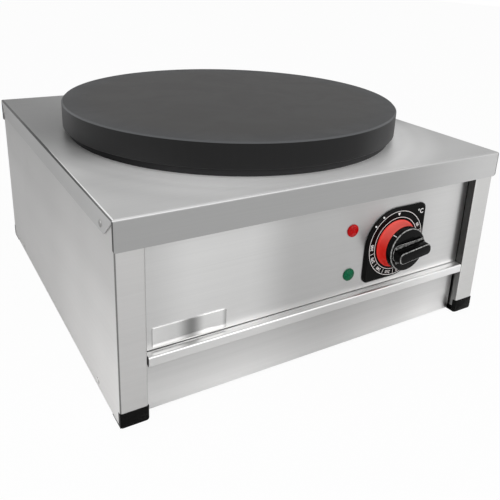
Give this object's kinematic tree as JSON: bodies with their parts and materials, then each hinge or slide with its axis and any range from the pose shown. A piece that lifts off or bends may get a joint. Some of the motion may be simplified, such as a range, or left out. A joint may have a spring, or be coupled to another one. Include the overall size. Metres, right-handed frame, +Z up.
{
  "type": "electric crepe maker",
  "caption": "Countertop crepe maker: a round cast-iron plate on a low folded stainless housing, with a thermostat knob and pilot lamps over a shallow sliding utensil drawer.",
  "frame": {"origin": "middle of the footprint, on the table under the feet; the footprint runs from the knob's front to the cable gland's back end", "axes": "+X to the right as seen from the front, +Y to the back (the knob and drawer face -Y), +Z up, out of the cooking plate"},
  "size_m": [0.458, 0.5098, 0.24],
  "materials": {
    "stainless": "brushed along the width",
    "zinc_plated_steel": "zinc plated",
    "bright_fasteners": "plain stainless",
    "foot_black": "matte",
    "cast_iron": "seasoned, turned face",
    "dark_enamel": "heat-resistant black",
    "mineral_wool": "felted",
    "element_sheath": "heat-darkened",
    "copper": "drawn",
    "ceramic": "unglazed",
    "dial_black": "glossy",
    "dial_red": "satin",
    "limiter_brown": "matte",
    "lens_red": "glossy",
    "lens_green": "glossy",
    "inner_grey": "matte",
    "badge_bare": "satin",
    "brass": "bright",
    "wire_brown": "silicone sleeve",
    "wire_white": "glass-fibre sleeve",
    "wire_blue": "silicone sleeve"
  },
  "bodies": {
    "housing": {"top_cover": "stainless", "left_side_panel": "stainless", "right_side_panel": "stainless", "control_panel": "stainless", "back_panel": "stainless", "base_panel": "stainless", "electrics_shelf": "zinc_plated_steel", "foot_front_left": "foot_black", "foot_front_right": "foot_black", "foot_back_left": "foot_black", "foot_back_right": "foot_black", "cooking_plate": "cast_iron", "heat_shield_pan": "dark_enamel", "insulation_blanket": "mineral_wool", "element_clamp_plate": "zinc_plated_steel", "element_inner": "element_sheath", "element_outer": "element_sheath", "plate_studs": "zinc_plated_steel", "stud_spacers": "zinc_plated_steel", "stud_nuts": "zinc_plated_steel", "sensor_bulb": "copper", "thermostat_body": "ceramic", "thermostat_screws": "zinc_plated_steel", "dial_bezel": "dial_black", "safety_limiter": "limiter_brown", "lamp_lens_red": "lens_red", "lamp_lens_green": "lens_green", "lamp_bodies": "inner_grey", "badge_plate": "badge_bare", "runner_left": "zinc_plated_steel", "runner_right": "zinc_plated_steel", "drawer_stops": "zinc_plated_steel", "terminal_block": "ceramic", "cable_gland": "inner_grey", "gland_locknut": "inner_grey", "earth_stud": "brass", "supply_wires": "wire_brown", "element_wires": "wire_white", "lamp_wires": "wire_blue", "cover_rivets": "bright_fasteners", "back_screws": "bright_fasteners", "base_screws": "bright_fasteners"},
    "dial": {"knob_skirt": "dial_red", "knob": "dial_black", "thermostat_spindle": "zinc_plated_steel"},
    "drawer": {"drawer_front": "stainless", "drawer_tray": "stainless"}
  },
  "joints": [
    {"name": "dial_turn", "type": "hinge", "parent": "housing", "child": "dial", "pos_m": [0.0915, -0.2209, 0.114], "axis": [0, 1, 0], "range_deg": [-316, 0]},
    {"name": "drawer_slide", "type": "slide", "parent": "housing", "child": "drawer", "axis": [0, -1, 0], "range_m": [0, 0.3]}
  ]
}
